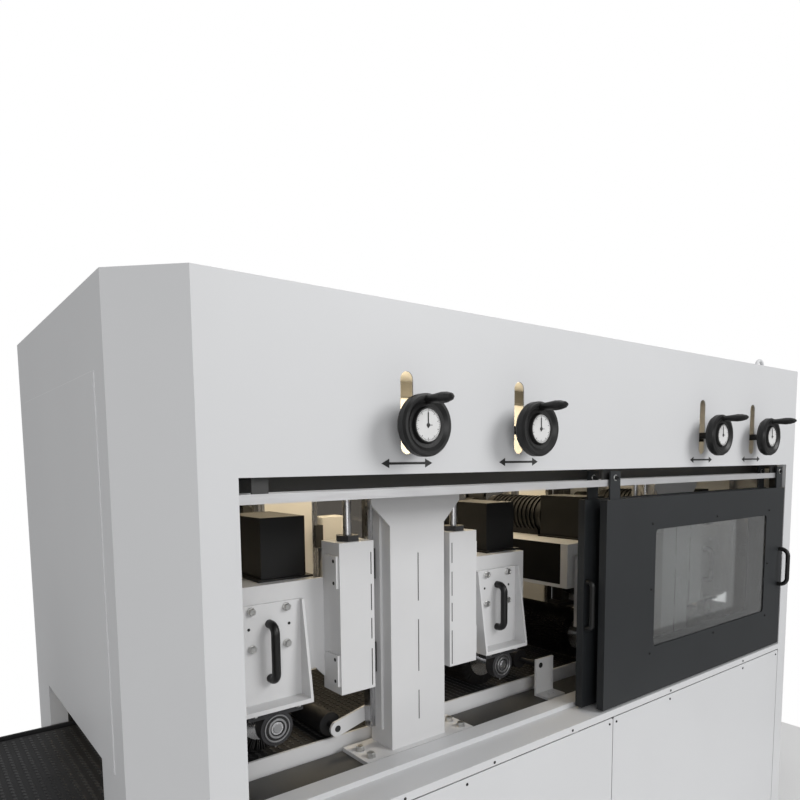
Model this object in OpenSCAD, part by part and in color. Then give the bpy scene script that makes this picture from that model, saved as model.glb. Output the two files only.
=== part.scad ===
// In-line brushing machine: a belt conveyor runs through a sheet metal housing under four
// height-adjustable roller brush heads. Millimetres, +Z up, the length along X, front towards -Y.
// The heads stand in two mirrored pairs, each pair about one main post.

/* [Housing] */
// Room between the outer heads' axes and the ends of the flat front face
end_margin = 244; // [230:1:400]
// Size of the 45 degree corner chamfers
chamfer = 133; // [60:1:180]
// Depth of the housing
house_d = 1326; // [1280:2:1500]
// Height of the roof above the floor
house_h = 2138; // [2100:1:2300]
// Thickness of the cladding sheet
sheet_t = 3; // [2:0.5:4]
// Height of the lower edge of the front fascia
fascia_z = 1719; // [1700:1:1760]
// Width of the front sheet left of the service opening
jamb_left = 87; // [80:1:120]
// Width of the front sheet right of the service opening
jamb_right = 75; // [75:1:120]
// Height of the lower edge of the end hoods, above the belt
hood_z = 1060; // [1000:1:1150]
// Height of the upper edge of the end hoods
hood_top_z = 1946; // [1800:1:2050]
// Width of the end hoods
hood_w = 896; // [760:2:1000]
// How far the end hoods stand proud
hood_proud = 2; // [1:0.5:4]
// Width of the infeed and outfeed openings
port_w = 664; // [650:2:720]
// Height of the front edge of the sill
sill_z = 890; // [880:1:900]
// Height of the sill's inner plateau above the front edge
sill_step = 16; // [8:1:24]
// Depth of the sill from front to back
sill_d = 173; // [150:1:190]
// Depth of the sill's lower front ledge
ledge_d = 108; // [100:1:120]
// Height of the top edge of the lower front panels
panel_z = 862; // [820:1:870]
// Gap between neighbouring cladding panels
panel_gap = 4; // [2:0.5:8]

/* [Frame] */
// Height of the levelling feet
foot_h = 100; // [60:1:160]
// Diameter of the levelling feet pads
foot_pad_d = 78; // [60:1:80]
// Diameter of the levelling feet spindles
foot_rod_d = 24; // [16:1:36]
// Section of the square frame tubes
tube_w = 70; // [60:1:71]
// Height of the floor channel under the posts
deck_z = 886; // [876:1:896]
// Thickness of the floor channel
deck_t = 10; // [6:1:16]

/* [Posts] */
// Distance of each main post from the middle between them
post_x = 716; // [700:1:760]
// Shift of both posts along the length
post_shift = 56; // [-80:1:80]
// Width of a post
post_w = 206; // [180:1:230]
// Depth of a post
post_d = 106; // [90:1:112]
// Height of the lower edge of the flared top
flare_z = 1566; // [1540:1:1600]
// Length of the base plate
base_w = 414; // [380:1:440]
// Thickness of the base plate
base_t = 12; // [8:1:20]

/* [Heads] */
// Gap between a post and the lifting column beside it
column_gap = 43; // [40:1:50]
// Distance of a head's brush axis from its lifting column
column_reach = 236; // [234:1:260]
// Width of the head's beam
beam_w = 296; // [230:1:320]
// Height of the top of the beam
beam_top_z = 1421; // [1400:1:1423]
// Height of the open bottom of the beam
beam_low_z = 1245; // [1180:1:1260]
// Half of the beam's length across the conveyor
beam_half = 341; // [336:1:346]
// Wall of the beam and the column
beam_t = 6; // [4:1:10]
// Width of the lifting column
column_w = 116; // [100:1:120]
// Depth of the lifting column
column_d = 94; // [80:1:100]
// Height of the column's lower end
column_low_z = 1096; // [1080:1:1110]
// Height of the column's top
column_top_z = 1527; // [1500:1:1540]
// Travel of a head above its place at rest
lift_up = 100; // [60:1:100]

/* [Brushes] */
// Diameter of a roller brush over its bristles
brush_d = 200; // [180:1:202]
// Diameter of the brush core
core_d = 124; // [100:1:140]
// Length of a brush
brush_l = 570; // [520:1:580]
// Diameter of the brush shaft
shaft_d = 35; // [25:1:45]
// Height of the brush axis
brush_z = 1032; // [1030:1:1040]
// Rows of bristle tufts along a brush
tuft_rows = 10; // [6:1:12]
// Tufts in each row
tufts_per_row = 12; // [8:1:12]
// Width of a tuft at its root
tuft_w = 16; // [8:1:24]

/* [Lift] */
// Diameter of the lead screws
screw_d = 24; // [18:1:30]
// Height of the handwheel axis
wheel_z = 1836; // [1826:1:1850]
// Outer diameter of a handwheel
wheel_d = 151; // [130:1:160]
// Diameter of the handwheel shaft
spindle_d = 24; // [16:1:30]
// Width of the slots in the fascia
slot_w = 40; // [36:1:50]
// Length of the slots below the handwheel axis
slot_below = 68; // [56:1:76]
// Spare length of the slots above the handwheel axis in its highest place
slot_spare = 35; // [28:1:60]
// Length of the crank grip
grip_l = 88; // [70:1:110]
// Largest diameter of the crank grip
grip_d = 27; // [20:1:32]

/* [Doors] */
// Overlap of the two doors beyond the middle of the opening
door_overlap = 26; // [10:1:40]
// Gap between a door and the ledge of the sill
door_gap = 8; // [6:1:14]
// Drop of a door's upper edge below the fascia
door_drop = 103; // [98:1:130]
// Thickness of a door leaf
door_t = 27; // [20:1:30]
// Distance between the two door planes
door_pitch = 65; // [62:1:72]
// Width of the door window's cut-out
window_w = 880; // [700:1:900]
// Height of the door window's cut-out
window_h = 430; // [380:1:480]
// Width of the side strip left of the window
window_side = 298; // [250:1:320]
// Height of the strip under the window
window_sill = 170; // [140:1:200]
// Corner radius of the window's cut-out
window_r = 14; // [6:1:30]

/* [Conveyor] */
// Height of the belt's carrying face
belt_z = 920; // [915:1:925]
// Width of the belt
belt_w = 600; // [560:2:610]
// Thickness of the belt
belt_t = 6; // [4:1:10]
// Diameter of the end drums
drum_d = 100; // [80:1:120]
// How far the conveyor stands out at each end
overhang = 400; // [200:10:600]
// Thickness of the conveyor's side plates
side_t = 8; // [5:1:12]
// Height of a side plate above the belt
side_rise = 8; // [4:1:12]

/* [Hidden] */

// Shared clearances
run_gap = 0.05;
seat_gap = 0.3;
slide_gap = 1;
over = 2;
round_fn = 48;
corner_fn = 32;

// Posts, heads and columns along the length, from the middle of the housing
column_off = post_w / 2 + column_gap + column_w / 2;
head_off = column_off + column_reach;
column_x = column_reach;
half_w = post_x + head_off + end_margin;
front_w = 2 * half_w;
function post_at(pair) = (pair == 0 ? -post_x : post_x) + post_shift;
function side_of(h) = h % 2 == 1 ? -1 : 1;
function head_at(h) = post_at(h < 3 ? 0 : 1) + side_of(h) * head_off;
function column_at(h) = post_at(h < 3 ? 0 : 1) + side_of(h) * column_off;

// The housing's box; the grips stand proud of the front, so it is set back from the origin
wheel_t = 34;
wheel_gap = 50;
grip_in = 2;
front_reach = wheel_gap + wheel_t + grip_l - grip_in;
house_y = front_reach / 2;
end_x = half_w + chamfer;
front_y = -house_d / 2;
back_y = house_d / 2;
opening_low_x = jamb_left - half_w;
opening_high_x = half_w - jamb_right;
lip_d = 40;

// Places from front to back: the columns' backs lie in the heads' beams, the screws in their middle
column_sink = 5;
column_front_y = -beam_half + column_sink - column_d;
screw_y = column_front_y + column_d / 2;
post_proud = 22;
post_front_y = column_front_y - post_proud;
post_back_y = post_front_y + post_d;
sill_seat = 10;
floor_front_y = front_y + sill_d - sill_seat;
wheel_back_y = front_y - wheel_gap;
wheel_face_y = wheel_back_y - wheel_t;

// Heights that follow the fascia: the hidden beams behind it, the track and the doors' tops
door_beam_drop = 51;
nut_beam_drop = 19;
arm_drop = 6;
hanger_drop = 8;
track_drop = 36;
door_beam_z = fascia_z - door_beam_drop;
nut_beam_z = fascia_z - nut_beam_drop;
arm_z = fascia_z - arm_drop;
hanger_top_z = fascia_z - hanger_drop;
track_top_z = fascia_z - track_drop;
door_top_z = fascia_z - door_drop;
door_low_z = sill_z + door_gap;
slot_low_z = wheel_z - slot_below;
slot_top_z = wheel_z + lift_up + slot_spare;

// Guide rails, lying on the posts' sides
rail_w = 30;
rail_h = 26;
rail_in = 2;
rail_y = post_back_y - rail_in - rail_w / 2;

// Brackets and bearings that hold the brushes
bracket_t = 10;
bracket_w = 206;
shelf_d = 52;
shelf_t = 12;
shelf_rise = 56;
shelf_z = brush_z + shelf_rise;
bracket_drop = 49;
bracket_top_z = beam_top_z - bracket_drop;
bolt_dx = 52;
bolt_hole_d = 13;
bearing_d = 96;
bearing_l = 35;
gear_w = 70;

white = [0.78, 0.78, 0.785];
anthracite = [0.2, 0.21, 0.22];
black = [0.05, 0.05, 0.055];
steel = [0.62, 0.63, 0.64];
light_grey = [0.6, 0.61, 0.62];

// A block by its low and high corners
module block(low, high) {
    translate(low) cube(high - low);
}

// Moves a child from the housing's centre plane into the part's frame
module housed() {
    translate([0, house_y, 0]) children();
}

// Places a head's own shape, drawn with its post towards +X
module at_head(h) {
    translate([head_at(h), house_y, 0]) mirror([side_of(h) > 0 ? 1 : 0, 0, 0]) children();
}

module y_cylinder(d, y0, y1, fn = round_fn) {
    translate([0, y1, 0]) rotate([90, 0, 0]) cylinder(d = d, h = y1 - y0, $fn = fn);
}

// Frame

module base_frame() {
    top_z = house_h - sheet_t - tube_w;
    inner_x = half_w - tube_w;
    color(anthracite) housed() {
        for (y = [front_y + sheet_t, back_y - sheet_t - tube_w]) {
            block([-half_w + tube_w, y, foot_h], [half_w - tube_w, y + tube_w, foot_h + tube_w]);
            block([-half_w + tube_w, y, top_z], [half_w - tube_w, y + tube_w, top_z + tube_w]);
        }
        for (x = [-half_w, inner_x], y = [front_y + sheet_t, back_y - sheet_t - tube_w])
            block([x, y, foot_h], [x + tube_w, y + tube_w, top_z + tube_w]);
        for (x = [-half_w, inner_x], z = [nut_beam_z, top_z])
            block([x, front_y + sheet_t + tube_w, z], [x + tube_w, back_y - sheet_t - tube_w, z + tube_w]);
        // Floor channels that carry the posts, front and back, on legs and cross tubes
        for (m = [0, 1]) mirror([0, m, 0])
            difference() {
                block([-half_w, floor_front_y, deck_z - tube_w], [half_w, -leg_y, deck_z]);
                block([-half_w - over, floor_front_y + deck_t, deck_z - tube_w - over],
                      [half_w + over, -leg_y - deck_t, deck_z - deck_t]);
            }
        for (x = leg_xs) {
            block([x, front_y + sheet_t + tube_w, foot_h],
                  [x + tube_w, back_y - sheet_t - tube_w, foot_h + tube_w]);
            for (m = [0, 1]) mirror([0, m, 0])
                block([x, -tube_w - leg_y, foot_h + tube_w], [x + tube_w, -leg_y, deck_z - deck_t]);
        }
        // Beam over the doors and the two beams that hold the lift nuts
        block([-inner_x, door_beam_y, door_beam_z], [inner_x, door_beam_y + door_beam_d, door_beam_z + tube_w]);
        // Arms to the tracks: straight to the rear one, over the rear hangers to the front one
        for (x = [opening_low_x + arm_in, 0, opening_high_x - track_end - arm_in]) translate([x, 0, 0]) {
            block([-arm_w / 2, track_y + door_pitch + track_t / 2, track_top_z - track_h + over],
                  [arm_w / 2, door_beam_y, track_top_z - over]);
            block([-arm_w / 2, track_y + track_t / 2, track_top_z - track_h + over],
                  [arm_w / 2, arm_y + arm_t, track_top_z - over]);
            block([-arm_w / 2, arm_y, track_top_z - track_h + over], [arm_w / 2, arm_y + arm_t, arm_z + arm_t]);
            block([-arm_w / 2, arm_y, arm_z], [arm_w / 2, door_beam_y, arm_z + arm_t]);
        }
        for (m = [0, 1]) mirror([0, m, 0])
            difference() {
                block([-inner_x, nut_beam_y, nut_beam_z], [inner_x, nut_beam_y + nut_beam_d, nut_beam_z + nut_beam_h]);
                for (h = [1:4])
                    translate([column_at(h), screw_y, nut_beam_z - over])
                        cylinder(d = nut_d + 2 * run_gap, h = nut_beam_h + 2 * over, $fn = round_fn);
            }
    }
}
leg_gap = 8;
leg_y = port_w / 2 + leg_gap;
leg_xs = [-half_w, post_at(0) - tube_w / 2, post_at(1) - tube_w / 2, half_w - tube_w];
door_beam_y = front_y + lip_d + tube_w;
door_beam_d = 50;
nut_beam_d = 110;
nut_beam_y = screw_y - nut_beam_d / 2;
nut_beam_h = 40;
nut_d = 60;
nut_flange_d = 84;
nut_flange_t = 10;

module levelling_feet() {
    color(steel) housed()
        for (x = [-half_w + tube_w / 2, 0, half_w - tube_w / 2], s = [-1, 1])
            translate([x, s * (house_d / 2 - sheet_t - tube_w / 2), 0]) {
                cylinder(d = foot_pad_d, h = foot_pad_h, $fn = round_fn);
                translate([0, 0, foot_pad_h])
                    cylinder(d = foot_rod_d * foot_nut_share, h = foot_pad_h, $fn = 6);
                cylinder(d = foot_rod_d, h = foot_h, $fn = round_fn);
            }
}
foot_pad_h = 20;
foot_nut_share = 1.9;

// Cladding

// Shift of a chamfer's corner for an inset of one, and the outline of a housing end at an inset
chamfer_share = tan(22.5);
module end_outline(inset) {
    shift = inset * chamfer_share;
    polygon([[half_w - (inset > 0 ? over : 0), front_y + inset], [half_w + shift, front_y + inset],
             [end_x - inset, front_y + chamfer + shift], [end_x - inset, back_y - chamfer - shift],
             [half_w + shift, back_y - inset], [half_w - (inset > 0 ? over : 0), back_y - inset]]);
}

module end_cover() {
    difference() {
        translate([0, 0, foot_h]) linear_extrude(house_h - sheet_t - foot_h) difference() {
            end_outline(0);
            end_outline(sheet_t);
        }
        block([half_w, -port_w / 2, port_low_z], [end_x + over, port_w / 2, hood_top_z - hood_lap]);
    }
    // Jamb returns of the port, and the hood over it
    for (s = [0, 1]) mirror([0, s, 0])
        block([end_x - jamb_d, -port_w / 2 - sheet_t, port_low_z], [end_x - sheet_t, -port_w / 2, hood_top_z - hood_lap]);
    block([end_x, -hood_w / 2, hood_z], [end_x + hood_proud, hood_w / 2, hood_top_z]);
    block([end_x - hood_lip, -port_w / 2, hood_z], [end_x, port_w / 2, hood_z + sheet_t]);
    block([end_x - sheet_t, -port_w / 2, hood_z], [end_x, port_w / 2, hood_top_z - hood_lap]);
}
port_low_z = 770;
hood_lap = 60;
hood_lip = 30;
jamb_d = 50;

module end_covers() {
    color(white) housed()
        for (m = [0, 1]) mirror([m, 0, 0]) end_cover();
}

module fascia_sheet(slots) {
    difference() {
        block([-half_w, front_y, fascia_z], [half_w, front_y + sheet_t, house_h - sheet_t]);
        if (slots)
            for (h = [1:4]) translate([column_at(h), front_y - over, 0]) {
                block([-slot_w / 2, 0, slot_low_z + slot_w / 2], [slot_w / 2, sheet_t + 2 * over, slot_top_z - slot_w / 2]);
                for (z = [slot_low_z + slot_w / 2, slot_top_z - slot_w / 2])
                    translate([0, sheet_t + 2 * over, z]) rotate([90, 0, 0])
                        cylinder(d = slot_w, h = sheet_t + 2 * over, $fn = round_fn);
            }
    }
    // Folded lower lip
    block([opening_low_x - sheet_t, front_y + sheet_t, fascia_z],
          [opening_high_x + sheet_t, front_y + lip_d, fascia_z + sheet_t]);
}

// Vertical strips of front sheet beside the service opening
module side_strips(low) {
    block([-half_w, front_y, low], [opening_low_x, front_y + sheet_t, fascia_z]);
    block([opening_high_x, front_y, low], [half_w, front_y + sheet_t, fascia_z]);
    for (x = [opening_low_x - sheet_t, opening_high_x])
        block([x, front_y + sheet_t, panel_z + panel_gap], [x + sheet_t, front_y + lip_d, fascia_z]);
}

module front_surround() {
    color(white) housed() {
        fascia_sheet(true);
        side_strips(foot_h);
        sill();
    }
}

module roof_panel() {
    color(white) housed() {
        translate([0, 0, house_h - sheet_t]) linear_extrude(sheet_t)
            polygon([[-half_w, front_y], [half_w, front_y], [end_x, front_y + chamfer],
                     [end_x, back_y - chamfer], [half_w, back_y], [-half_w, back_y],
                     [-end_x, back_y - chamfer], [-end_x, front_y + chamfer]]);
        for (s = [-1, 1]) translate([s * eye_x, -s * eye_y, house_h]) {
            cylinder(d = eye_base_d, h = eye_base_h, $fn = round_fn);
            translate([0, 0, eye_base_h + eye_ring_r]) rotate([90, 0, 0])
                rotate_extrude($fn = round_fn) translate([eye_ring_r, 0]) circle(d = eye_wire_d, $fn = 16);
        }
    }
}
eye_from_end = 100;
eye_from_front = 183;
eye_x = end_x - eye_from_end;
eye_y = -front_y - eye_from_front;
eye_base_d = 50;
eye_base_h = 14;
eye_ring_r = 30;
eye_wire_d = 16;

// Sill of the opening: a ledge for the doors, a raised plateau and a lip on the floor channel
module sill() {
    y1 = front_y + ledge_d;
    y2 = front_y + sill_d;
    translate([opening_low_x, 0, 0]) rotate([90, 0, 90]) linear_extrude(opening_high_x - opening_low_x)
        polygon([[front_y, panel_z + panel_gap], [front_y + sheet_t, panel_z + panel_gap],
                 [front_y + sheet_t, sill_z - sheet_t], [y1 + sheet_t, sill_z - sheet_t],
                 [y1 + sheet_t, sill_z + sill_step - sheet_t], [y2 - sheet_t, sill_z + sill_step - sheet_t],
                 [y2 - sheet_t, deck_z], [y2, deck_z], [y2, sill_z + sill_step], [y1, sill_z + sill_step], [y1, sill_z], [front_y, sill_z]]);
}

module lower_panel(x0, x1) {
    translate([x0, front_y + sheet_t, 0]) rotate([90, 0, 0]) linear_extrude(sheet_t)
        offset(r = panel_r, $fn = corner_fn) offset(delta = -panel_r)
            translate([0, foot_h + panel_gap]) square([x1 - x0, panel_z - foot_h - panel_gap]);
}
panel_r = 8;

module lower_front_panels() {
    mid = (opening_low_x + opening_high_x) / 2 + panel_split;
    color(white) housed() {
        lower_panel(opening_low_x + panel_gap, mid - panel_gap / 2);
        lower_panel(mid + panel_gap / 2, opening_high_x - panel_gap);
    }
}
panel_split = 26;

module rear_wall() {
    color(white) housed() mirror([0, 1, 0]) {
        fascia_sheet(false);
        side_strips(foot_h);
        sill();
        lower_panel(opening_low_x + panel_gap, -panel_gap / 2);
        lower_panel(panel_gap / 2, opening_high_x - panel_gap);
        difference() {
            block([opening_low_x + panel_gap, front_y, sill_z],
                  [opening_high_x - panel_gap, front_y + sheet_t, fascia_z]);
            for (x = rear_window_xs) rear_window_cut(x, 0);
        }
    }
}
rear_window_count = 4;
rear_window_pitch = (opening_high_x - opening_low_x) / rear_window_count;
rear_window_margin = 75;
rear_window_w = rear_window_pitch - 2 * rear_window_margin;
rear_window_xs = [for (i = [0:rear_window_count - 1]) opening_low_x + i * rear_window_pitch + rear_window_margin];
rear_window_rise = 160;
rear_window_drop = 60;
rear_window_low_z = sill_z + rear_window_rise;
rear_window_high_z = fascia_z - rear_window_drop;
window_t = 5;
window_lap = 15;

module rear_window_cut(x, grow) {
    block([x - grow, front_y - over, rear_window_low_z - grow],
          [x + rear_window_w + grow, front_y + sheet_t + over, rear_window_high_z + grow]);
}

module rear_windows() {
    color([0.75, 0.8, 0.82, 0.35]) housed() mirror([0, 1, 0])
        for (x = rear_window_xs)
            block([x - window_lap, front_y + sheet_t, rear_window_low_z - window_lap],
                  [x + rear_window_w + window_lap, front_y + sheet_t + window_t, rear_window_high_z + window_lap]);
}

// Posts, rails and nuts

module main_posts() {
    color(white) housed()
        for (pair = [0, 1], m = [0, 1]) mirror([0, m, 0]) translate([post_at(pair), 0, 0]) post();
}
module post() {
    y0 = post_front_y;
    y1 = post_front_y + post_d;
    top_z = nut_beam_z;
    difference() {
        block([-post_w / 2, y0, deck_z + base_t], [post_w / 2, y1, top_z]);
        block([-post_w / 2 + beam_t, y0 + beam_t, deck_z + base_t - over], [post_w / 2 - beam_t, y1 - beam_t, top_z + over]);
    }
    difference() {
        block([-base_w / 2, y0 - base_lap, deck_z], [base_w / 2, y1 + base_back, deck_z + base_t]);
        for (sx = [-1, 1], y = [y0 + base_hole_y, y0 + base_hole_y + base_hole_dy])
            translate([sx * (base_w / 2 - base_hole_in), y, deck_z - over])
                cylinder(d = bolt_hole_d, h = base_t + 2 * over, $fn = round_fn);
    }
    // Flared gussets under the nut beam, and strips that the rails are bolted to
    for (s = [0, 1]) mirror([s, 0, 0]) {
        translate([0, y0 + gusset_t, 0]) rotate([90, 0, 0]) linear_extrude(gusset_t)
            polygon([[post_w / 2, flare_z], [post_w / 2 + flare_w, flare_z + flare_w],
                     [post_w / 2 + flare_w, top_z], [post_w / 2, top_z]]);
        block([post_w / 2, rail_y - rail_w / 2 - strip_w, rail_low_z],
              [post_w / 2 + strip_t, rail_y - rail_w / 2 - seat_gap, rail_high_z]);
    }
}
base_lap = 22;
base_back = 4;
base_hole_in = 30;
base_hole_y = 5;
base_hole_dy = 56;
gusset_t = 8;
flare_w = 64;
strip_w = 32;
strip_t = 8;
rail_low = 64;
rail_high = 40;
rail_low_z = deck_z + rail_low;
rail_high_z = nut_beam_z - rail_high;

module guide_rails_and_nuts() {
    color(steel) housed() {
        for (pair = [0, 1], m = [0, 1], s = [0, 1]) mirror([0, m, 0]) translate([post_at(pair), 0, 0])
            mirror([s, 0, 0]) guide_rail();
        for (h = [1:4]) translate([column_at(h), screw_y, 0]) difference() {
            union() {
                translate([0, 0, nut_beam_z - nut_flange_t]) cylinder(d = nut_flange_d, h = nut_flange_t, $fn = round_fn);
                translate([0, 0, nut_beam_z]) cylinder(d = nut_d, h = nut_beam_h, $fn = round_fn);
            }
            translate([0, 0, nut_beam_z - nut_flange_t - over])
                cylinder(d = screw_d + 2 * run_gap, h = nut_beam_h + nut_flange_t + 2 * over, $fn = round_fn);
        }
    }
}
// Profile rail with its waisted section, lying on the post's side
rail_half_shares = [[0.4, 0.5], [0.55, 0.36], [0.75, 0.36], [0.85, 0.5], [1, 0.5]];
module guide_rail() {
    upper = [for (p = rail_half_shares) [p[0] * rail_h, p[1] * rail_w]];
    lower = [for (i = [len(upper) - 1:-1:0]) [upper[i][0], -upper[i][1]]];
    translate([post_w / 2, rail_y, rail_low_z]) linear_extrude(rail_high_z - rail_low_z)
        polygon(concat([[0, -rail_w / 2], [0, rail_w / 2]], upper, lower));
}

// Doors

door_w = (opening_high_x - opening_low_x) / 2 + door_overlap;
door_proud = 2;
door_front_y = front_y + door_proud;
hanger_w = 56;
hanger_t = 6;
roller_d = 26;
roller_t = 12;
track_y = door_front_y + sheet_t + hanger_t + roller_t / 2;
track_h = 22;
track_t = 8;
hanger_in = 20;

module door_track() {
    color(light_grey) housed()
        for (i = [0, 1]) {
            y = track_y + i * door_pitch;
            block([opening_low_x + slide_gap, y - track_t / 2, track_top_z - track_h],
                  [opening_high_x - track_end, y + track_t / 2, track_top_z]);
        }
}
arm_in = 60;
arm_w = 40;
arm_t = 5;
arm_gap = 2;
arm_y = track_y + roller_t / 2 + arm_gap;
track_end = 20;

module door_leaf(plane) {
    x0 = door_x(plane);
    y0 = door_front_y + plane * door_pitch;
    difference() {
        block([x0, y0, door_low_z], [x0 + door_w, y0 + door_t, door_top_z]);
        block([x0 + sheet_t, y0 + sheet_t, door_low_z + sheet_t],
              [x0 + door_w - sheet_t, y0 + door_t + over, door_top_z - sheet_t]);
        translate([x0 + window_side, y0 + sheet_t + over, door_low_z + window_sill]) rotate([90, 0, 0])
            linear_extrude(sheet_t + 2 * over)
                hull() for (x = [window_r, window_w - window_r], z = [window_r, window_h - window_r])
                    translate([x, z]) circle(r = window_r, $fn = corner_fn);
    }
    // Hangers with their rollers on the track
    for (x = [x0 + hanger_in + hanger_w / 2, x0 + door_w - hanger_in - hanger_w / 2])
        translate([x, 0, 0]) {
            block([-hanger_w / 2, y0 + sheet_t, door_top_z], [hanger_w / 2, y0 + sheet_t + hanger_t, hanger_top_z]);
            translate([0, 0, track_top_z + seat_gap + roller_d / 2])
                y_cylinder(roller_d, y0 + sheet_t + hanger_t, y0 + sheet_t + hanger_t + roller_t);
        }
}
door_end_gap = 4;
door_stagger = 30;
function door_x(plane) = opening_high_x - door_end_gap - door_w - plane * door_stagger;

module door_window(plane) {
    x0 = door_x(plane) + window_side - window_lap;
    y0 = door_front_y + plane * door_pitch + sheet_t;
    block([x0, y0, door_low_z + window_sill - window_lap],
          [x0 + window_w + 2 * window_lap, y0 + window_t, door_low_z + window_sill + window_h + window_lap]);
}

// Bow handle along Z on the face at y, standing out towards -Y
module bow_handle(length, reach, d, fn = 16) {
    bend = reach - d;
    for (m = [0, 1]) mirror([0, 0, m]) translate([0, 0, (length - d) / 2]) {
        y_cylinder(d, -d / 2, 0, fn);
        translate([0, -d / 2, -bend]) rotate([0, -90, 0]) rotate([0, 0, -90])
            rotate_extrude(angle = 90, $fn = 2 * fn) translate([bend, 0]) circle(d = d, $fn = fn);
        translate([0, -d / 2 - bend, -(length - d) / 2]) cylinder(d = d, h = (length - d) / 2 - bend, $fn = fn);
    }
}

module front_door_leaf() {
    color(anthracite) housed() door_leaf(0);
}
module rear_door_leaf() {
    color(anthracite) housed() door_leaf(1);
}
module front_door_window() {
    color([0.75, 0.8, 0.82, 0.35]) housed() door_window(0);
}
module rear_door_window() {
    color([0.75, 0.8, 0.82, 0.35]) housed() door_window(1);
}
module front_door_handle() {
    color(black) housed() translate([door_x(0) + door_w - handle_in, door_front_y, handle_z])
        bow_handle(handle_l, front_handle_reach, handle_d);
}
module rear_door_handle() {
    color(black) housed() translate([door_x(1) + handle_in / 2, door_front_y + door_pitch, handle_z])
        bow_handle(handle_l, rear_handle_reach, handle_d);
}
handle_in = 28;
handle_l = 179;
handle_d = 18;
handle_z = (door_low_z + door_top_z) / 2;
front_handle_reach = 48;
rear_handle_reach = 34;

// Conveyor

drum_x = end_x + overhang - drum_d / 2 - belt_t;
drum_z = belt_z - belt_t - drum_d / 2;

module conveyor_frame() {
    side_y = belt_w / 2 + belt_side_gap;
    side_top = belt_z + side_rise;
    color(light_grey) housed() {
        for (s = [0, 1]) mirror([0, s, 0]) difference() {
            block([-end_x - overhang + drum_d / 2, -side_y - side_t, side_top - side_h],
                  [end_x + overhang - drum_d / 2, -side_y, side_top]);
            for (x = [-drum_x, drum_x]) translate([x, 0, drum_z])
                y_cylinder(shaft_d + 2 * run_gap, -side_y - side_t - over, -side_y + over);
        }
        block([-drum_x + drum_d, -side_y, belt_z - belt_t - bed_t], [drum_x - drum_d, side_y, belt_z - belt_t]);
        for (x = leg_xs)
            block([x + tube_w / 4, -leg_y, side_top - side_h - tube_w / 2],
                  [x + tube_w * 3 / 4, leg_y, side_top - side_h]);
    }
}
belt_side_gap = 14;
side_under = 12;
side_h = side_rise + drum_d + 2 * belt_t + side_under;
bed_t = 3;

module belt_outline(r) {
    hull() for (x = [-drum_x, drum_x]) translate([x, drum_z]) circle(r = r, $fn = round_fn);
}

module conveyor_belt() {
    color(black) housed() translate([0, belt_w / 2, 0]) rotate([90, 0, 0]) linear_extrude(belt_w)
        difference() {
            belt_outline(drum_d / 2 + belt_t);
            belt_outline(drum_d / 2);
        }
}

module drum(x) {
    side_y = belt_w / 2 + belt_side_gap;
    translate([x, 0, drum_z]) {
        y_cylinder(drum_d - 2 * seat_gap, -belt_w / 2, belt_w / 2);
        y_cylinder(shaft_d, -side_y - side_t - shaft_stub, side_y + side_t + shaft_stub);
    }
}
shaft_stub = 12;
module drive_drum() {
    color(steel) housed() drum(drum_x);
}
module tail_drum() {
    color(steel) housed() drum(-drum_x);
}

// Pressure rollers: one on links beside the first post, one on foot brackets at mid length

press_d = 70;
press_pin_d = 20;
link_reach = 225;
link_clear = 7;
link_roller_x = post_at(0) - link_reach;
link_roller_z = belt_z + press_d / 2 + link_clear;
foot_shift = 94;
foot_clear = 43;
foot_roller_x = (head_at(2) + head_at(3)) / 2 - foot_shift;
foot_roller_z = belt_z + press_d / 2 + foot_clear;
foot_out = 60;
foot_y = -leg_y - foot_out;
foot_left = 24;
foot_right = 71;
foot_x0 = foot_roller_x - foot_left;
foot_x1 = foot_roller_x + foot_right;
foot_l = 56;
foot_slot_x = 12;
plate_t = 8;
boss_d = 48;
link_root_x = 70;
link_root_h = 44;
link_rise = 38;
link_root_z = link_roller_z + link_rise;

module roller(x, z, reach) {
    translate([x, 0, z]) {
        y_cylinder(press_d, -belt_w / 2, belt_w / 2);
        y_cylinder(press_pin_d, -reach, reach);
    }
}
module pressure_roller_1() {
    color(black) housed() roller(link_roller_x, link_roller_z, -post_back_y);
}
module pressure_roller_2() {
    color(black) housed() roller(foot_roller_x, foot_roller_z, -foot_y + slide_gap);
}

module roller_brackets() {
    color(white) housed() for (m = [0, 1]) mirror([0, m, 0]) {
        difference() {
            union() {
                block([foot_x0, foot_y, deck_z], [foot_x1, foot_y + plate_t, foot_roller_z + boss_d / 2]);
                block([foot_x0, foot_y - foot_l, deck_z], [foot_x1, foot_y, deck_z + plate_t]);
            }
            translate([foot_roller_x, 0, foot_roller_z])
                y_cylinder(press_pin_d + 2 * run_gap, foot_y - over, foot_y + plate_t + over);
            for (x = [-foot_slot_x, foot_slot_x])
                translate([(foot_x0 + foot_x1) / 2 + x, foot_y - foot_l / 2, deck_z - over])
                    cylinder(d = bolt_hole_d, h = plate_t + 2 * over, $fn = round_fn);
        }
        // Link on the post's back face, with a boss round the roller's pin
        difference() {
            union() {
                translate([link_roller_x, 0, link_roller_z]) y_cylinder(boss_d, post_back_y, post_back_y + plate_t);
                translate([0, post_back_y + plate_t, 0]) rotate([90, 0, 0]) linear_extrude(plate_t)
                    polygon([[link_roller_x, link_roller_z - boss_d / 2], [link_roller_x, link_roller_z + boss_d / 2],
                             [post_at(0) - link_root_x, link_root_z + link_root_h / 2],
                             [post_at(0), link_root_z + link_root_h / 2],
                             [post_at(0), link_root_z - link_root_h / 2],
                             [post_at(0) - link_root_x, link_root_z - link_root_h / 2]]);
            }
            translate([link_roller_x, 0, link_roller_z])
                y_cylinder(press_pin_d + 2 * run_gap, post_back_y - over, post_back_y + plate_t + over);
        }
    }
}

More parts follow.
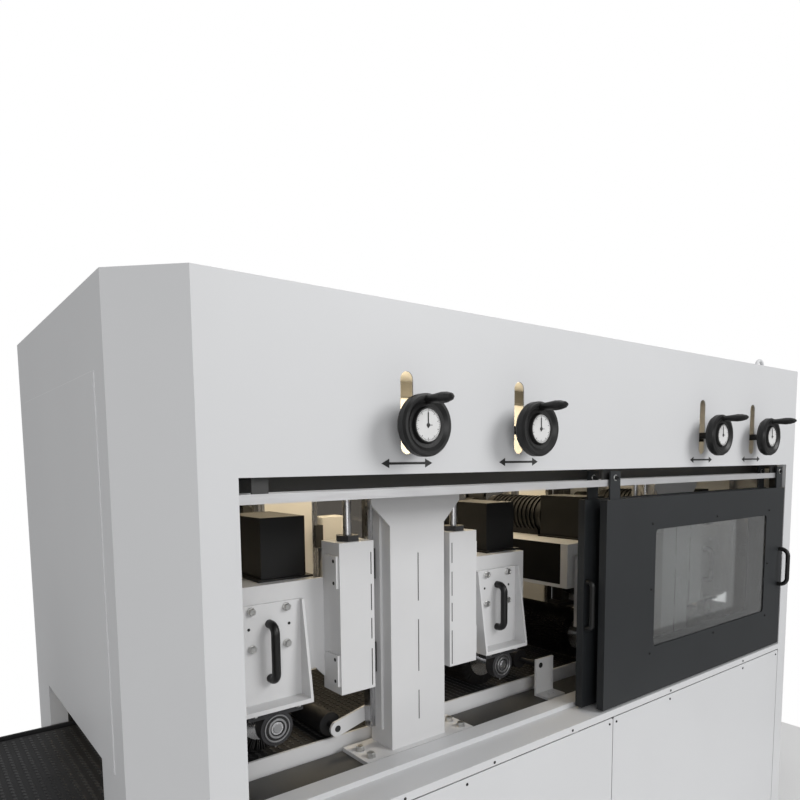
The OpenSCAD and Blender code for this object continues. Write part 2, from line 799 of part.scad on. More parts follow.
// Brush heads, each drawn about its own brush axis with its post towards +X

module head_body() {
    difference() {
        block([-beam_w / 2, -beam_half, beam_low_z], [beam_w / 2, beam_half, beam_top_z]);
        block([-beam_w / 2 + beam_t, -beam_half + beam_t, beam_low_z - over],
              [beam_w / 2 - beam_t, beam_half - beam_t, beam_top_z - beam_t]);
    }
    for (m = [0, 1]) mirror([0, m, 0]) {
        // Wing plate to the lifting column, cut off at a slant below
        translate([0, -beam_half + wing_t, 0]) rotate([90, 0, 0]) linear_extrude(wing_t)
            polygon([[wing_x, beam_top_z], [column_x, beam_top_z], [column_x, wing_end_z],
                     [column_x - column_w / 2, wing_end_z], [beam_w / 2, wing_low_z], [wing_x, wing_low_z]]);
        difference() {
            translate([column_x, 0, 0])
                block([-column_w / 2, column_front_y, column_low_z], [column_w / 2, column_front_y + column_d, column_top_z]);
            translate([column_x, 0, 0])
                block([-column_w / 2 + beam_t, column_front_y + beam_t, column_low_z - over],
                      [column_w / 2 - beam_t, column_front_y + column_d - beam_t, column_top_z - beam_t]);
            if (m == 0)
                translate([column_x, screw_y, column_top_z - beam_t - over])
                    cylinder(d = screw_d + 2 * run_gap, h = beam_t + 2 * over, $fn = round_fn);
        }
        for (z = [column_low_z + bar_low, column_top_z - bar_high - bar_h])
            block([column_x - column_w / 2 - bar_t, column_front_y + bar_in, z],
                  [column_x - column_w / 2, column_front_y + bar_in + bar_w, z + bar_h]);
    }
}
wing_t = 12;
wing_drop = 84;
wing_rise = 34;
wing_low_z = beam_low_z - wing_drop;
wing_end_z = column_low_z + wing_rise;
wing_x = 60;
bar_low = 24;
bar_high = 37;
bar_h = 90;
bar_w = 60;
bar_t = 8;
bar_in = 6;

module head_drive() {
    difference() {
        block([cover_x0, cover_y0, beam_top_z + cover_t], [cover_x1, cover_y0 + cover_l, cover_top_z]);
        block([cover_x0 + sheet_t, cover_y0 + sheet_t, beam_top_z + cover_t],
              [cover_x1 - sheet_t, cover_y0 + cover_l - sheet_t, cover_top_z - sheet_t]);
    }
    block([cover_x0 - cover_lip, cover_y0 - cover_lip, beam_top_z],
          [cover_x1 + cover_lip, cover_y0 + cover_l, beam_top_z + cover_t]);
    // Motor behind the cover, with cooling ribs, and the neck of its shaft
    translate([motor_x, 0, motor_z]) {
        y_cylinder(motor_d, cover_y0 + cover_l, motor_y1);
        for (i = [0:motor_ribs - 1])
            y_cylinder(motor_d + 2 * rib_h, motor_rib_y + i * rib_pitch, motor_rib_y + i * rib_pitch + rib_w);
        y_cylinder(motor_d / 2, motor_y1, guard_y);
    }
    block([motor_x - motor_d / 3, motor_rib_y, beam_top_z], [motor_x + motor_d / 3, motor_y1, motor_z - motor_d / 4]);
    // Belt guard from the motor's shaft down to the brush shaft, open for that shaft
    difference() {
        guard(guard_w / 2, guard_y, guard_y + guard_l);
        guard(guard_w / 2 - sheet_t, guard_y + sheet_t, guard_y + guard_l - sheet_t);
        translate([0, 0, brush_z]) y_cylinder(shaft_d + 2 * guard_gap, guard_y - over, guard_y + sheet_t + over);
    }
}
module guard(r, y0, y1) {
    translate([0, y1, 0]) rotate([90, 0, 0]) linear_extrude(y1 - y0) hull() {
        translate([0, brush_z]) circle(r = r, $fn = round_fn);
        translate([motor_x, motor_z]) circle(r = r, $fn = round_fn);
    }
}
cover_y0 = -290;
cover_l = 220;
cover_t = 6;
cover_lip = 16;
cover_h = 177;
cover_top_z = beam_top_z + cover_h;
motor_d = 150;
rib_h = 7;
cover_x0 = 10;
cover_x1 = 150;
motor_x = (cover_x0 + cover_x1) / 2;
motor_z = beam_top_z + cover_t + rib_h + motor_d / 2;
guard_out = 2;
guard_y = beam_half + bracket_t + shelf_d + guard_out;
guard_l = 46;
guard_w = 116;
guard_gap = 3;

motor_y1 = 270;
motor_rib_y = -40;
motor_ribs = 12;
rib_pitch = 24;
rib_w = 6;

module head_bracket() {
    y0 = -beam_half - bracket_t;
    difference() {
        union() {
            block([-bracket_w / 2, y0, shelf_z], [bracket_w / 2, -beam_half, bracket_top_z]);
            block([-bracket_w / 2, y0 - shelf_d, shelf_z], [bracket_w / 2, y0, shelf_z + shelf_t]);
            for (x = [-bracket_w / 2, bracket_w / 2 - gusset_t])
                translate([x, 0, 0]) rotate([90, 0, 90]) linear_extrude(gusset_t)
                    polygon([[y0, shelf_z], [y0 - shelf_d, shelf_z], [y0 - shelf_d, shelf_z + shelf_t],
                             [y0 - gusset_top_d, bracket_top_z], [y0, bracket_top_z]]);
        }
        for (x = [-bolt_dx, bolt_dx], z = [bracket_top_z - bolt_drop - bolt_dz, bracket_top_z - bolt_drop])
            translate([x, 0, z]) y_cylinder(bolt_hole_d, y0 - over, -beam_half + over);
    }
}
gusset_top_d = 12;
bolt_drop = 16;
bolt_dz = 102;

module head_handle() {
    translate([0, -beam_half - bracket_t, grip_mid_z]) bow_handle(grip_len, grip_reach, grip_bow_d);
}
grip_drop = 132;
grip_mid_z = bracket_top_z - grip_drop;
grip_len = 175;
grip_reach = 48;
grip_bow_d = 24;

module head_castings() {
    // Bearing housings under the bracket's shelf and at the back
    for (m = [0, 1]) mirror([0, m, 0])
        difference() {
            union() {
                translate([0, 0, brush_z]) y_cylinder(bearing_d, bearing_y, bearing_y + bearing_l);
                block([-bearing_d * foot_plate_share, bearing_y, brush_z + bearing_d / 2 - foot_plate_t],
                      [bearing_d * foot_plate_share, bearing_y + bearing_l, shelf_z]);
            }
            translate([0, 0, brush_z]) y_cylinder(shaft_d + 2 * run_gap, bearing_y - over, bearing_y + bearing_l + over);
        }
    // Rear bearing carrier plate
    block([-bracket_w / 2, beam_half, shelf_z], [bracket_w / 2, beam_half + shelf_d + bracket_t, shelf_z + shelf_t]);
    block([-bracket_w / 2, beam_half, shelf_z + shelf_t], [bracket_w / 2, beam_half + bracket_t, bracket_top_z]);
    // Guide blocks that run on the post's rails
    for (m = [0, 1], z = [column_low_z + block_in, column_top_z - block_in - block_l]) mirror([0, m, 0])
        translate([0, 0, z]) linear_extrude(block_l) difference() {
            translate([column_x + column_w / 2, rail_y - block_w / 2])
                square([head_off - post_w / 2 - block_off - column_x - column_w / 2, block_w]);
            translate([head_off - post_w / 2 - rail_h - slide_gap, rail_y - rail_w / 2 - slide_gap])
                square([rail_h + slide_gap + over, rail_w + 2 * slide_gap]);
        }
    // Retaining nut of the screw on the column
    translate([column_x, screw_y, column_top_z]) difference() {
        cylinder(d = hex_d, h = hex_h, $fn = 6);
        translate([0, 0, -over]) cylinder(d = screw_d + 2 * run_gap, h = hex_h + 2 * over, $fn = round_fn);
    }
    // Bevel gearbox on top of the screw
    translate([column_x, screw_y, 0]) difference() {
        block([-gear_w / 2, -gear_w / 2, wheel_z - gear_w / 2], [gear_w / 2, gear_w / 2, wheel_z + gear_w / 2]);
        translate([0, 0, wheel_z - gear_w / 2 - over]) cylinder(d = screw_d + 2 * run_gap, h = gear_depth + over, $fn = round_fn);
        translate([0, 0, wheel_z]) y_cylinder(spindle_d + 2 * run_gap, -gear_w / 2 - over, -gear_w / 2 + gear_depth);
    }
}
bearing_out = 39;
bearing_y = -beam_half - bearing_out;
foot_plate_t = 14;
foot_plate_share = 0.85;
block_in = 30;
block_l = 90;
block_w = 60;
block_off = 11;
gear_depth = 20;
hex_d = 72;
hex_h = 16;

module head_brush_core() {
    translate([0, 0, brush_z]) {
        for (m = [0, 1]) mirror([0, m, 0]) y_cylinder(core_d, -brush_l / 2, -brush_l / 2 + disc_t);
        y_cylinder(core_d - 2 * sleeve_t, -brush_l / 2, brush_l / 2);
        y_cylinder(shaft_d, bearing_y - shaft_end, guard_y + guard_l - sheet_t - guard_gap);
        y_cylinder(pulley_d, guard_y + sheet_t + guard_gap, guard_y + guard_l - sheet_t - guard_gap);
    }
}
shaft_end = 2;
disc_t = 4;
pulley_d = 90;

// Bristle tufts: tapered three-sided strands that stand in a thin backing sleeve
module tuft(length) {
    half = tuft_w / 2;
    tip = half * tuft_tip_share;
    polyhedron(
        points = concat([for (a = [0:2]) [half * cos(a * 120), half * sin(a * 120), 0]],
                        [for (a = [0:2]) [tip * cos(a * 120), tip * sin(a * 120), length]]),
        faces = [[0, 1, 2], [5, 4, 3], [0, 3, 4], [0, 4, 1], [1, 4, 5], [1, 5, 2], [2, 5, 3], [2, 3, 0]]);
}
tuft_tip_share = 0.8;
sleeve_t = 4;
sleeve_fn = 24;

module head_bristles() {
    root_r = core_d / 2 - sleeve_t / 2;
    pitch = brush_l / tuft_rows;
    translate([0, 0, brush_z]) rotate([90, 0, 0]) resize([0, 0, 0]) union() {
        difference() {
            cylinder(d = core_d, h = brush_l - 2 * disc_t, center = true, $fn = sleeve_fn);
            cylinder(d = core_d - 2 * sleeve_t + 2 * seat_gap, h = brush_l, center = true, $fn = sleeve_fn * 2);
        }
        for (row = [0:tuft_rows - 1], i = [0:tufts_per_row - 1])
            translate([0, 0, (row + 0.5) * pitch - brush_l / 2])
                rotate([0, 90, (i + row / 2) * 360 / tufts_per_row])
                    translate([0, 0, root_r]) tuft(brush_d / 2 - root_r);
    }
}

// Handwheel: dished rim with a dial housing, a hub and a crank grip
module head_handwheel() {
    translate([column_x, 0, wheel_z]) {
        translate([0, wheel_face_y, 0]) rotate([-90, 0, 0]) rotate_extrude($fn = 64) {
            // Bezel and dial recess, rim and hub in shares of the wheel's radius and thickness
            polygon(concat(
                [[0, wheel_t * dial_floor_share], [dial_d / 2 - bezel_t, wheel_t * dial_floor_share],
                 [dial_d / 2 - bezel_t, 0], [dial_d / 2, 0], [dial_d / 2 + bezel_t, wheel_t * rim_step_share]],
                [for (p = rim_shares) [p[0] * wheel_d / 2, p[1] * wheel_t]],
                [[hub_d / 2, wheel_t * hub_root_share], [hub_d / 2, wheel_t + hub_l], [0, wheel_t + hub_l]]));
        }
        y_cylinder(spindle_d, wheel_back_y + hub_l, screw_y - gear_w / 2 + gear_depth - seat_gap);
        // Crank grip, a slim spindle parallel to the wheel's axis
        translate([0, wheel_face_y + grip_in, wheel_d * grip_place_share]) rotate([90, 0, 0])
            rotate_extrude($fn = 32)
                polygon([for (p = grip_shares) [p[0] * grip_d, p[1] * grip_l]]);
    }
}
bezel_t = 3;
dial_floor_share = 0.12;
rim_step_share = 0.22;
rim_shares = [[0.72, 0.2], [0.84, 0], [0.94, 0], [1, 0.2], [1, 0.72], [0.92, 1], [0.72, 1], [0.64, 0.8]];
hub_root_share = 0.9;
grip_place_share = 0.4;
grip_shares = [[0, 0], [0.42, 0], [0.38, 0.1], [0.42, 0.3], [0.5, 0.55], [0.46, 0.75], [0.32, 0.92],
               [0.12, 1], [0, 1]];
dial_d = 84;
hub_d = 44;
hub_l = 22;

module head_lift_screw() {
    translate([column_x, screw_y, column_top_z - screw_in])
        cylinder(d = screw_d, h = wheel_z - gear_w / 2 + gear_depth - seat_gap - column_top_z + screw_in, $fn = round_fn);
}
screw_in = 40;

// One head's sub-part by its kind
module head_part(h, kind) {
    if (kind == "drive") color(black) translate([head_at(h), house_y, 0]) head_drive();
    at_head(h) {
        if (kind == "body") color(white) head_body();
        if (kind == "bracket") color(white) head_bracket();
        if (kind == "handle") color(black) head_handle();
        if (kind == "castings") color(steel) head_castings();
        if (kind == "brush_core") color(steel) head_brush_core();
        if (kind == "bristles") color(black) head_bristles();
        if (kind == "handwheel") color(black) head_handwheel();
        if (kind == "lift_screw") color(steel) head_lift_screw();
    }
}

base_frame();
levelling_feet();
end_covers();
front_surround();
roof_panel();
lower_front_panels();
rear_wall();
rear_windows();
main_posts();
guide_rails_and_nuts();
door_track();
conveyor_frame();
conveyor_belt();
roller_brackets();
drive_drum();
tail_drum();
pressure_roller_1();
pressure_roller_2();
front_door_leaf();
front_door_window();
front_door_handle();
rear_door_leaf();
rear_door_window();
rear_door_handle();
head_part(1, "body");  // head_1_body
head_part(1, "drive");  // head_1_drive
head_part(1, "bracket");  // head_1_bracket
head_part(1, "handle");  // head_1_handle
head_part(1, "castings");  // head_1_castings
head_part(1, "brush_core");  // head_1_brush_core
head_part(1, "bristles");  // head_1_bristles
head_part(1, "handwheel");  // head_1_handwheel
head_part(1, "lift_screw");  // head_1_lift_screw
head_part(2, "body");  // head_2_body
head_part(2, "drive");  // head_2_drive
head_part(2, "bracket");  // head_2_bracket
head_part(2, "handle");  // head_2_handle
head_part(2, "castings");  // head_2_castings
head_part(2, "brush_core");  // head_2_brush_core
head_part(2, "bristles");  // head_2_bristles
head_part(2, "handwheel");  // head_2_handwheel
head_part(2, "lift_screw");  // head_2_lift_screw
head_part(3, "body");  // head_3_body
head_part(3, "drive");  // head_3_drive
head_part(3, "bracket");  // head_3_bracket
head_part(3, "handle");  // head_3_handle
head_part(3, "castings");  // head_3_castings
head_part(3, "brush_core");  // head_3_brush_core
head_part(3, "bristles");  // head_3_bristles
head_part(3, "handwheel");  // head_3_handwheel
head_part(3, "lift_screw");  // head_3_lift_screw
head_part(4, "body");  // head_4_body
head_part(4, "drive");  // head_4_drive
head_part(4, "bracket");  // head_4_bracket
head_part(4, "handle");  // head_4_handle
head_part(4, "castings");  // head_4_castings
head_part(4, "brush_core");  // head_4_brush_core
head_part(4, "bristles");  // head_4_bristles
head_part(4, "handwheel");  // head_4_handwheel
head_part(4, "lift_screw");  // head_4_lift_screw
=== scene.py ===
import math
import random

import bmesh
import bpy
from mathutils import Matrix, Vector


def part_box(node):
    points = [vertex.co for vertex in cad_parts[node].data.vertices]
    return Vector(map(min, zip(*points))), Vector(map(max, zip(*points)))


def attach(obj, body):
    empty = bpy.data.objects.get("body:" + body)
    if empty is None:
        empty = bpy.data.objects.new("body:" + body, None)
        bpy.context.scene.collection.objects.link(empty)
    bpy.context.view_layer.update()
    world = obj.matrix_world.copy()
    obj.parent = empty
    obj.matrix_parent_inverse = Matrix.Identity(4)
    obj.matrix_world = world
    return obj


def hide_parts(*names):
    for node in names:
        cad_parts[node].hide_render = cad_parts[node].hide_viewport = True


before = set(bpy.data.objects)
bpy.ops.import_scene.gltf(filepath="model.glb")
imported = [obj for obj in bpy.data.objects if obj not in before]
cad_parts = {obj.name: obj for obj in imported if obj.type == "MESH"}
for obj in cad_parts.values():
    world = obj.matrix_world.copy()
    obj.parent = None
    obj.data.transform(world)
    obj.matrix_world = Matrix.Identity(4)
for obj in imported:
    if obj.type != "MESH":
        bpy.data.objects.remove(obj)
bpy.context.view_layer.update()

HEADS = (1, 2, 3, 4)
SHARP_ANGLE = math.radians(40)
TO_FRONT = (0, -1, 0)

# Small helpers


def lo_hi(node):
    """A CAD node's lowest and highest corners as vectors."""
    low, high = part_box(node)
    return Vector(low), Vector(high)


def middle(node):
    """The centre of a CAD node's box."""
    low, high = lo_hi(node)
    return (low + high) / 2


def piece(name, bm, body, mat, smooth=False):
    """Turns a bmesh into a piece that rides on a body."""
    bmesh.ops.recalc_face_normals(bm, faces=bm.faces)
    mesh = bpy.data.meshes.new(name)
    bm.to_mesh(mesh)
    bm.free()
    for poly in mesh.polygons:
        poly.use_smooth = smooth
    obj = bpy.data.objects.new(name, mesh)
    bpy.context.scene.collection.objects.link(obj)
    mesh.materials.append(mat)
    if smooth:
        edge_split = obj.modifiers.new("sharp_edges", "EDGE_SPLIT")
        edge_split.split_angle = SHARP_ANGLE
    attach(obj, body)
    return obj


def turned(axis):
    """Rotation that takes +Z to the axis."""
    return Vector((0, 0, 1)).rotation_difference(Vector(axis)).to_matrix().to_4x4()


def add_lathe(bm, at, axis, profile, sides, spin=0.0):
    """Adds a closed turned shape: profile is (radius, height) along the axis."""
    frame_mat = Matrix.Translation(at) @ turned(axis)
    rings = []
    for radius, height in profile:
        if radius <= 0:
            rings.append([bm.verts.new(frame_mat @ Vector((0, 0, height)))])
            continue
        ring = []
        for i in range(sides):
            a = spin + math.tau * i / sides
            point = Vector((radius * math.cos(a), radius * math.sin(a), height))
            ring.append(bm.verts.new(frame_mat @ point))
        rings.append(ring)
    for a, b in zip(rings, rings[1:]):
        for i in range(sides):
            j = (i + 1) % sides
            corners = [a[i % len(a)], a[j % len(a)], b[j % len(b)], b[i % len(b)]]
            unique = []
            for v in corners:
                if v not in unique:
                    unique.append(v)
            if len(unique) > 2:
                bm.faces.new(unique)
    for ring, end in ((rings[0], 0), (rings[-1], 1)):
        if len(ring) > 1:
            bm.faces.new(ring if end else ring[::-1])


def add_box(bm, low, high):
    """Adds a block between two corners."""
    low, high = Vector(low), Vector(high)
    part = bmesh.new()
    bmesh.ops.create_cube(part, size=1.0)
    for v in part.verts:
        v.co = Vector(((low[k] + high[k]) / 2 + v.co[k] * (high[k] - low[k])) for k in range(3))
    add_part(bm, part)


def add_part(bm, part):
    """Copies one bmesh into another and frees it."""
    scratch = bpy.data.meshes.new("scratch")
    part.to_mesh(scratch)
    part.free()
    bm.from_mesh(scratch)
    bpy.data.meshes.remove(scratch)


def add_hex_bolt(bm, at, axis, flat=0.019, head=0.0105):
    """Adds a hexagon head bolt with its washer, seated at the place."""
    at = Vector(at)
    axis = Vector(axis).normalized()
    washer_t = 0.0022
    washer = [(flat * 0.62, 0), (flat * 0.62, washer_t * 0.7), (flat * 0.58, washer_t), (0, washer_t)]
    add_lathe(bm, at, axis, washer, 28)
    r = flat / math.sqrt(3)
    dish = head * 0.94
    hexagon = [(r, 0), (r, head * 0.8), (r * 0.84, head), (r * 0.5, head), (r * 0.42, dish), (0, dish)]
    add_lathe(bm, at + axis * washer_t, axis, hexagon, 6, spin=math.radians(15))


def add_button_screw(bm, at, axis, d=0.009, head=0.0034):
    """Adds a button head socket screw."""
    r = d / 2
    socket = head * 0.35
    add_lathe(bm, at, axis, [(r, 0), (r, head * 0.3), (r * 0.82, head * 0.8), (r * 0.5, head),
                             (r * 0.4, head), (r * 0.36, socket), (0, socket)], 20)


# Materials

# Noise values lie mostly between these two
NOISE_LOW = 0.3
NOISE_HIGH = 0.7
ROUGH_VARY = 0.06


def nodes_of(mat):
    """A new material's node tree and its shader."""
    mat.use_nodes = True
    tree = mat.node_tree
    return tree, tree.nodes["Principled BSDF"]


def noise(tree, scale, detail, stretch=(1, 1, 1)):
    """Noise in object space, with the axes stretched."""
    coords = tree.nodes.new("ShaderNodeTexCoord")
    mapping = tree.nodes.new("ShaderNodeMapping")
    mapping.inputs["Scale"].default_value = stretch
    tree.links.new(coords.outputs["Object"], mapping.inputs["Vector"])
    tex = tree.nodes.new("ShaderNodeTexNoise")
    tex.inputs["Scale"].default_value = scale
    tex.inputs["Detail"].default_value = detail
    tree.links.new(mapping.outputs["Vector"], tex.inputs["Vector"])
    return tex


def ramp(tree, source, low, high):
    """Colour ramp between two colours, over the middle of the noise."""
    node = tree.nodes.new("ShaderNodeValToRGB")
    node.color_ramp.elements[0].position = NOISE_LOW
    node.color_ramp.elements[1].position = NOISE_HIGH
    node.color_ramp.elements[0].color = (*low, 1)
    node.color_ramp.elements[1].color = (*high, 1)
    tree.links.new(source, node.inputs["Fac"])
    return node


def span(tree, source, low, high):
    """The middle of the noise mapped to a range of values."""
    node = tree.nodes.new("ShaderNodeMapRange")
    node.inputs["From Min"].default_value = NOISE_LOW
    node.inputs["From Max"].default_value = NOISE_HIGH
    node.inputs["To Min"].default_value = low
    node.inputs["To Max"].default_value = high
    tree.links.new(source, node.inputs["Value"])
    return node


def surface(name, colour, rough, vary, cloud, grain, bump, depth=0.0002, metal=0.0,
            stretch=(1, 1, 1), specular=0.5):
    """A painted, moulded or machined surface.

    vary and cloud are the strength and the scale of its broad tone changes. grain, bump and depth
    are the scale, strength and height of its fine relief, which stretch draws out along an axis.
    """
    mat = bpy.data.materials.new(name)
    tree, shader = nodes_of(mat)
    broad = noise(tree, cloud, 4.0)
    dark = tuple(c * (1 - vary) for c in colour)
    light = tuple(min(1.0, c * (1 + vary)) for c in colour)
    tone = ramp(tree, broad.outputs["Fac"], dark, light)
    tree.links.new(tone.outputs["Color"], shader.inputs["Base Color"])
    fine = noise(tree, grain, 2.0, stretch)
    gloss = span(tree, fine.outputs["Fac"], rough - ROUGH_VARY, rough + ROUGH_VARY)
    tree.links.new(gloss.outputs["Result"], shader.inputs["Roughness"])
    relief = tree.nodes.new("ShaderNodeBump")
    relief.inputs["Strength"].default_value = bump
    relief.inputs["Distance"].default_value = depth
    tree.links.new(fine.outputs["Fac"], relief.inputs["Height"])
    tree.links.new(relief.outputs["Normal"], shader.inputs["Normal"])
    shader.inputs["Metallic"].default_value = metal
    shader.inputs["Specular IOR Level"].default_value = specular
    return mat


WHITE_COLOUR = (0.60, 0.605, 0.615)
WHITE = surface("light_powder_coat", WHITE_COLOUR, 0.48, vary=0.018, cloud=1.6, grain=1400, bump=0.22,
                depth=0.0003)
WHITE_INNER = surface("light_paint", (0.62, 0.62, 0.625), 0.42, vary=0.02, cloud=6, grain=900, bump=0.1)
ANTHRACITE = surface("anthracite_powder_coat", (0.017, 0.019, 0.021), 0.5, vary=0.1, cloud=3, grain=1500,
                     bump=0.3, depth=0.0003, specular=0.35)
BLACK = surface("black_powder_coat", (0.006, 0.006, 0.006), 0.5, vary=0.15, cloud=5, grain=1300,
                bump=0.25, depth=0.0003, specular=0.3)
PLASTIC = surface("black_plastic", (0.006, 0.006, 0.006), 0.4, vary=0.12, cloud=20, grain=2200,
                  bump=0.15, depth=0.0001, specular=0.4)
STEEL = surface("machined_steel", (0.52, 0.52, 0.53), 0.3, vary=0.06, cloud=12, grain=500, bump=0.08,
                depth=0.0001, metal=1.0, stretch=(1, 1, 0.08))
TURNED = surface("turned_steel", (0.6, 0.6, 0.61), 0.26, vary=0.08, cloud=30, grain=700, bump=0.12,
                 depth=0.0001, metal=1.0, stretch=(1, 0.05, 1))
ZINC = surface("zinc_plated", (0.58, 0.58, 0.57), 0.33, vary=0.1, cloud=80, grain=1500, bump=0.1,
               depth=0.0001, metal=1.0)
ALUMINIUM = surface("track_aluminium", (0.68, 0.68, 0.69), 0.36, vary=0.03, cloud=9, grain=260, bump=0.06,
                    depth=0.0001, metal=0.75, stretch=(0.03, 1, 1))
IRON = surface("cast_iron", (0.03, 0.03, 0.032), 0.55, vary=0.2, cloud=30, grain=380, bump=0.4,
               depth=0.0005, metal=0.2)
RUBBER = surface("belt_rubber", (0.012, 0.012, 0.013), 0.55, vary=0.25, cloud=8, grain=700, bump=0.35,
                 depth=0.0004, specular=0.4)
FILAMENT = surface("bristle_filament", (0.008, 0.0075, 0.0075), 0.5, vary=0.4, cloud=120, grain=900,
                   bump=0.2)
DIAL = surface("dial_white", (0.66, 0.66, 0.655), 0.4, vary=0.02, cloud=40, grain=800, bump=0.03,
               depth=0.00005)
INK = surface("black_ink", (0.012, 0.012, 0.012), 0.5, vary=0.1, cloud=60, grain=900, bump=0.05,
              depth=0.00005)
FLOOR_PAINT = surface("floor_frame_paint", (0.038, 0.038, 0.037), 0.5, vary=0.12, cloud=4, grain=1300,
                      bump=0.25, depth=0.0003)
BELT_TOP = surface("belt_studs", (0.03, 0.03, 0.031), 0.42, vary=0.25, cloud=8, grain=700, bump=0.3,
                   depth=0.0003)
GROUND = surface("ground_steel", (0.42, 0.42, 0.43), 0.34, vary=0.03, cloud=10, grain=220, bump=0.02,
                 depth=0.0001, metal=1.0)
# Painted shade for the slits in the posts: a dark tone where the slit lies in shade
SLIT_SHADE = surface("painted_slit_shade", (0.09, 0.09, 0.09), 0.7, vary=0.15, cloud=30, grain=700, bump=0.1,
                    depth=0.0001)
# A lighter white, as a painted highlight along the edges of the end panels
EDGE_HIGHLIGHT = surface("painted_edge_highlight", (0.70, 0.705, 0.715), 0.4, vary=0.02, cloud=5, grain=1200, bump=0.1)
SHADOW = surface("dark_gap", (0.02, 0.02, 0.02), 0.8, vary=0.2, cloud=40, grain=600, bump=0.1,
                 depth=0.0001)


def two_tone(name, base, colour, axis, low, high):
    """A copy of a look, in another colour where a coordinate lies between low and high. It serves real
    two-tone paint and painted shade alike.

    Along X the coordinate counts without its sign, so both ends are painted.
    """
    mat = base.copy()
    mat.name = name
    tree = mat.node_tree
    shader = tree.nodes["Principled BSDF"]
    place = tree.nodes.new("ShaderNodeTexCoord")
    split = tree.nodes.new("ShaderNodeSeparateXYZ")
    tree.links.new(place.outputs["Object"], split.inputs[0])
    value = split.outputs[axis]
    if axis == "X":
        size = tree.nodes.new("ShaderNodeMath")
        size.operation = "ABSOLUTE"
        tree.links.new(value, size.inputs[0])
        value = size.outputs[0]
    over_low = tree.nodes.new("ShaderNodeMath")
    over_low.operation = "GREATER_THAN"
    over_low.inputs[1].default_value = low
    under_high = tree.nodes.new("ShaderNodeMath")
    under_high.operation = "LESS_THAN"
    under_high.inputs[1].default_value = high
    both = tree.nodes.new("ShaderNodeMath")
    both.operation = "MULTIPLY"
    tree.links.new(value, over_low.inputs[0])
    tree.links.new(value, under_high.inputs[0])
    tree.links.new(over_low.outputs[0], both.inputs[0])
    tree.links.new(under_high.outputs[0], both.inputs[1])
    mix = tree.nodes.new("ShaderNodeMix")
    mix.data_type = "RGBA"
    own = shader.inputs["Base Color"].links[0].from_socket
    tree.links.new(both.outputs[0], mix.inputs["Factor"])
    tree.links.new(own, mix.inputs["A"])
    mix.inputs["B"].default_value = (*colour, 1)
    tree.links.new(mix.outputs["Result"], shader.inputs["Base Color"])
    return mat


# The rear wall's inner side is dark up to this height as painted shade, and the conveyor's ends are dark
# past this X
SHADE_TOP_Z = 1.70
DARK_END_X = 1.45
PAST_PART = 3.0
REAR_OUTSIDE_Y = lo_hi("rear_wall")[1].y - 0.0015
# Painted shade: the rear sheet is dark on its inner side, and light again above the top height
REAR_INSIDE_SHADE = two_tone("rear_sheet_painted_shade", WHITE, (0.02, 0.02, 0.021), "Y", -1.0, REAR_OUTSIDE_Y)
REAR_LOOK = two_tone("rear_sheet", REAR_INSIDE_SHADE, WHITE_COLOUR, "Z", SHADE_TOP_Z, PAST_PART)
FRAME_LOOK = two_tone("conveyor_paint", WHITE_INNER, (0.012, 0.012, 0.013), "X", DARK_END_X, PAST_PART)


def make_pane(name, low, high):
    """Clear acrylic with a tint."""
    mat = bpy.data.materials.new(name)
    tree, shader = nodes_of(mat)
    broad = noise(tree, 1.5, 2.0)
    tint = ramp(tree, broad.outputs["Fac"], low, high)
    tree.links.new(tint.outputs["Color"], shader.inputs["Base Color"])
    fine = noise(tree, 3.0, 2.0)
    gloss = span(tree, fine.outputs["Fac"], 0.02, 0.05)
    tree.links.new(gloss.outputs["Result"], shader.inputs["Roughness"])
    shader.inputs["Transmission Weight"].default_value = 1.0
    shader.inputs["IOR"].default_value = 1.45
    return mat


PANE = make_pane("clear_pane", (0.70, 0.71, 0.71), (0.76, 0.77, 0.77))
# The rear panes are tinted dark as painted shade, so the chamber behind the heads looks dim
REAR_PANE = make_pane("rear_pane_painted_shade", (0.07, 0.065, 0.055), (0.10, 0.09, 0.08))

NODE_LOOKS = {
    "base_frame": FLOOR_PAINT, "levelling_feet": ZINC, "end_covers": WHITE, "front_surround": WHITE,
    "roof_panel": WHITE, "lower_front_panels": WHITE, "rear_wall": REAR_LOOK, "rear_windows": REAR_PANE,
    "main_posts": WHITE_INNER, "guide_rails_and_nuts": STEEL, "door_track": ALUMINIUM,
    "conveyor_frame": FRAME_LOOK, "conveyor_belt": RUBBER, "roller_brackets": WHITE_INNER,
    "drive_drum": TURNED, "tail_drum": TURNED, "pressure_roller_1": RUBBER, "pressure_roller_2": RUBBER,
    "front_door_leaf": ANTHRACITE, "front_door_window": PANE, "front_door_handle": PLASTIC,
    "rear_door_leaf": ANTHRACITE, "rear_door_window": PANE, "rear_door_handle": PLASTIC,
}
HEAD_LOOKS = {
    "body": WHITE_INNER, "drive": BLACK, "bracket": WHITE_INNER, "handle": PLASTIC, "castings": IRON,
    "brush_core": TURNED, "handwheel": PLASTIC, "lift_screw": STEEL,
}


def dress(node, look):
    """Gives a CAD node its look."""
    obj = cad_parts[node]
    obj.data.materials.clear()
    obj.data.materials.append(look)


for node, look in NODE_LOOKS.items():
    dress(node, look)
for h in HEADS:
    for kind, look in HEAD_LOOKS.items():
        dress(f"head_{h}_{kind}", look)

# Places that the fittings share

FRONT = lo_hi("front_surround")[0].y
MID_Y = FRONT + 0.663
POST_XS = (-0.660, 0.772)
POST_FACE_Y = MID_Y - 0.452
COLUMN_FACE_Y = MID_Y - 0.430
DOWN = (0, 0, -1)
MARK_T = 0.0006
SUNK = 0.0002


def side_of(h):
    """The outer side of a head: to the left on heads 1 and 3, to the right on 2 and 4."""
    return -1 if h % 2 else 1


def screw_x(h):
    """Where a head's lift screw stands."""
    return middle(f"head_{h}_lift_screw").x


# Brushes

random.seed(11)
TUFT_ROWS = 30
TUFTS_ROUND = 72
ROOT_SHARE = 0.61
CORNERS = ((-1, -1), (1, -1), (1, 1), (-1, 1))


